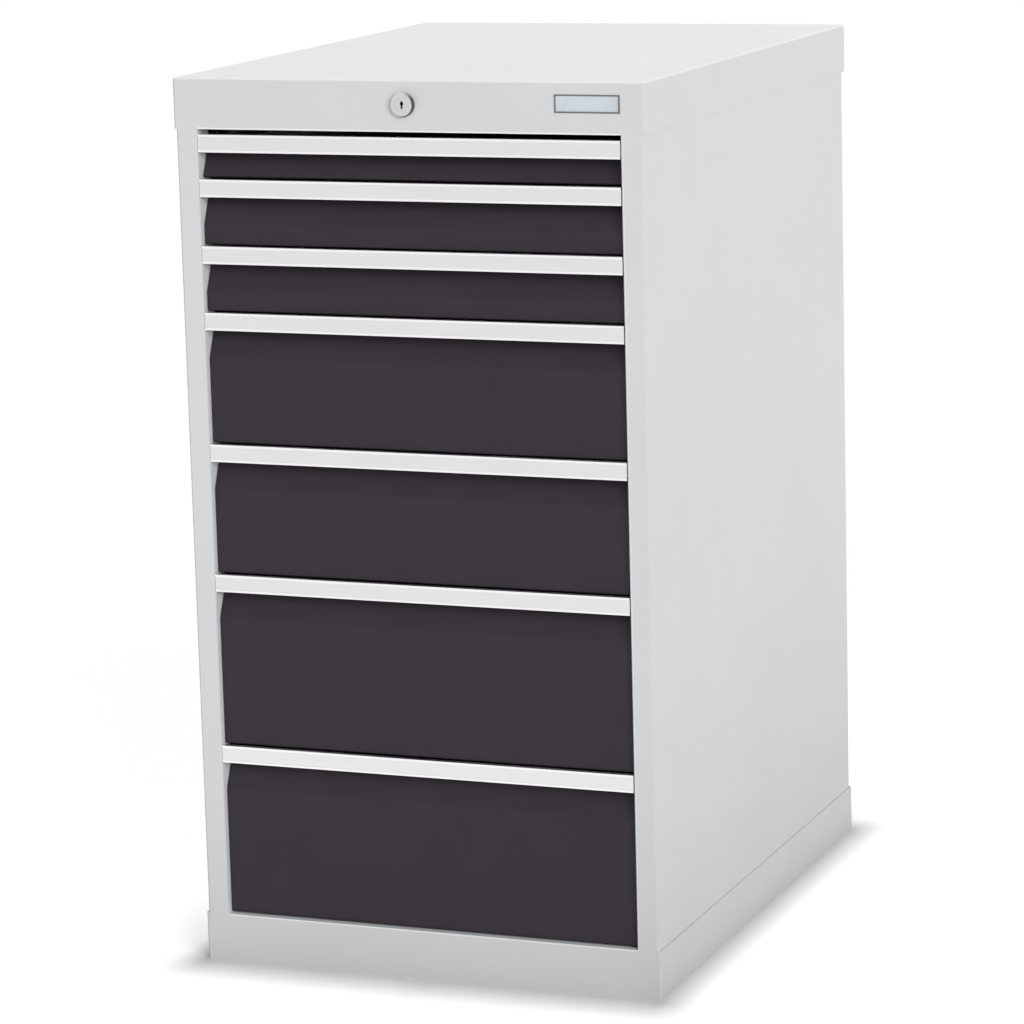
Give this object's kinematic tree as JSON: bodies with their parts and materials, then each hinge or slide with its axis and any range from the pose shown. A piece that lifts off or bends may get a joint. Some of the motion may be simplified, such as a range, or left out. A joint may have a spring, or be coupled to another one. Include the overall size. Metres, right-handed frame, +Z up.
{
  "type": "drawer cabinet",
  "caption": "Tall steel drawer cabinet on a plinth: deep header with a central cylinder lock, dark full-extension drawers with aluminium handle strips.",
  "frame": {"origin": "middle of the footprint, on the floor", "axes": "+X to the right seen from the front, -Y to the front where the drawers open, +Z up"},
  "size_m": [0.555, 0.742, 1.019],
  "materials": {
    "housing_enamel": "light grey powder coat, fine texture, satin",
    "front_enamel": "anthracite powder coat, fine texture, satin",
    "tray_enamel": "light grey powder coat, satin",
    "handle_aluminium": "satin anodised, brushed along its length",
    "zinc_steel": "bright zinc plated",
    "lock_nickel": "satin nickel plated",
    "black_rubber": "matt",
    "plate_white": "white, semi-gloss",
    "plate_frame": "dark grey"
  },
  "bodies": {
    "housing": {"cabinet_rails_left": "zinc_steel", "cabinet_rails_right": "zinc_steel", "floor_pan": "housing_enamel", "header_channel": "housing_enamel", "lock_guides": "zinc_steel", "lock_housing": "lock_nickel", "lock_nut": "lock_nickel", "nameplate": "plate_white", "nameplate_frame": "plate_frame", "plinth": "housing_enamel", "rail_buffers": "black_rubber", "rail_screws": "zinc_steel", "rear_panel": "housing_enamel", "side_panel_left": "housing_enamel", "side_panel_right": "housing_enamel", "top_cap": "housing_enamel", "upright_front_left": "zinc_steel", "upright_front_right": "zinc_steel", "upright_rear_left": "zinc_steel", "upright_rear_right": "zinc_steel"},
    "lock_cylinder": {"lock_cylinder": "lock_nickel", "lock_cam": "lock_nickel"},
    "lock_link": {"lock_link": "zinc_steel"},
    "locking_bar": {"locking_bar": "zinc_steel", "locking_hooks": "zinc_steel"},
    "drawer_1": {"drawer_tray_1": "tray_enamel", "drawer_front_1": "front_enamel", "handle_strip_1": "handle_aluminium", "drawer_rails_1": "zinc_steel"},
    "runner_1": {"middle_rails_1": "zinc_steel"},
    "drawer_2": {"drawer_tray_2": "tray_enamel", "drawer_front_2": "front_enamel", "handle_strip_2": "handle_aluminium", "drawer_rails_2": "zinc_steel"},
    "runner_2": {"middle_rails_2": "zinc_steel"},
    "drawer_3": {"drawer_tray_3": "tray_enamel", "drawer_front_3": "front_enamel", "handle_strip_3": "handle_aluminium", "drawer_rails_3": "zinc_steel"},
    "runner_3": {"middle_rails_3": "zinc_steel"},
    "drawer_4": {"drawer_tray_4": "tray_enamel", "drawer_front_4": "front_enamel", "handle_strip_4": "handle_aluminium", "drawer_rails_4": "zinc_steel"},
    "runner_4": {"middle_rails_4": "zinc_steel"},
    "drawer_5": {"drawer_tray_5": "tray_enamel", "drawer_front_5": "front_enamel", "handle_strip_5": "handle_aluminium", "drawer_rails_5": "zinc_steel"},
    "runner_5": {"middle_rails_5": "zinc_steel"},
    "drawer_6": {"drawer_tray_6": "tray_enamel", "drawer_front_6": "front_enamel", "handle_strip_6": "handle_aluminium", "drawer_rails_6": "zinc_steel"},
    "runner_6": {"middle_rails_6": "zinc_steel"},
    "drawer_7": {"drawer_tray_7": "tray_enamel", "drawer_front_7": "front_enamel", "handle_strip_7": "handle_aluminium", "drawer_rails_7": "zinc_steel"},
    "runner_7": {"middle_rails_7": "zinc_steel"}
  },
  "joints": [
    {"name": "drawer_slide_1", "type": "slide", "parent": "housing", "child": "drawer_1", "axis": [0, -1, 0], "range_m": [0, 0.614]},
    {"name": "runner_slide_1", "type": "slide", "parent": "housing", "child": "runner_1", "axis": [0, -1, 0], "range_m": [0, 0.307]},
    {"name": "drawer_slide_2", "type": "slide", "parent": "housing", "child": "drawer_2", "axis": [0, -1, 0], "range_m": [0, 0.614]},
    {"name": "runner_slide_2", "type": "slide", "parent": "housing", "child": "runner_2", "axis": [0, -1, 0], "range_m": [0, 0.307]},
    {"name": "drawer_slide_3", "type": "slide", "parent": "housing", "child": "drawer_3", "axis": [0, -1, 0], "range_m": [0, 0.614]},
    {"name": "runner_slide_3", "type": "slide", "parent": "housing", "child": "runner_3", "axis": [0, -1, 0], "range_m": [0, 0.307]},
    {"name": "drawer_slide_4", "type": "slide", "parent": "housing", "child": "drawer_4", "axis": [0, -1, 0], "range_m": [0, 0.614]},
    {"name": "runner_slide_4", "type": "slide", "parent": "housing", "child": "runner_4", "axis": [0, -1, 0], "range_m": [0, 0.307]},
    {"name": "drawer_slide_5", "type": "slide", "parent": "housing", "child": "drawer_5", "axis": [0, -1, 0], "range_m": [0, 0.614]},
    {"name": "runner_slide_5", "type": "slide", "parent": "housing", "child": "runner_5", "axis": [0, -1, 0], "range_m": [0, 0.307]},
    {"name": "drawer_slide_6", "type": "slide", "parent": "housing", "child": "drawer_6", "axis": [0, -1, 0], "range_m": [0, 0.614]},
    {"name": "runner_slide_6", "type": "slide", "parent": "housing", "child": "runner_6", "axis": [0, -1, 0], "range_m": [0, 0.307]},
    {"name": "drawer_slide_7", "type": "slide", "parent": "housing", "child": "drawer_7", "axis": [0, -1, 0], "range_m": [0, 0.614]},
    {"name": "runner_slide_7", "type": "slide", "parent": "housing", "child": "runner_7", "axis": [0, -1, 0], "range_m": [0, 0.307]},
    {"name": "bar_slide", "type": "slide", "parent": "housing", "child": "locking_bar", "axis": [0, 0, -1], "range_m": [0, 0.0055]},
    {"name": "link_slide", "type": "slide", "parent": "housing", "child": "lock_link", "axis": [1, 0, 0], "range_m": [0, 0.01132]},
    {"name": "lock_turn", "type": "hinge", "parent": "housing", "child": "lock_cylinder", "pos_m": [0, -0.368, 0.992], "axis": [0, 1, 0], "range_deg": [0, 90]}
  ],
  "couplings": [
    {"joint": "runner_slide_1", "follows": "drawer_slide_1", "ratio": 0.5},
    {"joint": "runner_slide_2", "follows": "drawer_slide_2", "ratio": 0.5},
    {"joint": "runner_slide_3", "follows": "drawer_slide_3", "ratio": 0.5},
    {"joint": "runner_slide_4", "follows": "drawer_slide_4", "ratio": 0.5},
    {"joint": "runner_slide_5", "follows": "drawer_slide_5", "ratio": 0.5},
    {"joint": "runner_slide_6", "follows": "drawer_slide_6", "ratio": 0.5},
    {"joint": "runner_slide_7", "follows": "drawer_slide_7", "ratio": 0.5},
    {"joint": "link_slide", "follows": "bar_slide", "ratio": 2.057},
    {"joint": "lock_turn", "follows": "bar_slide", "rad_per_m": 285.6}
  ]
}
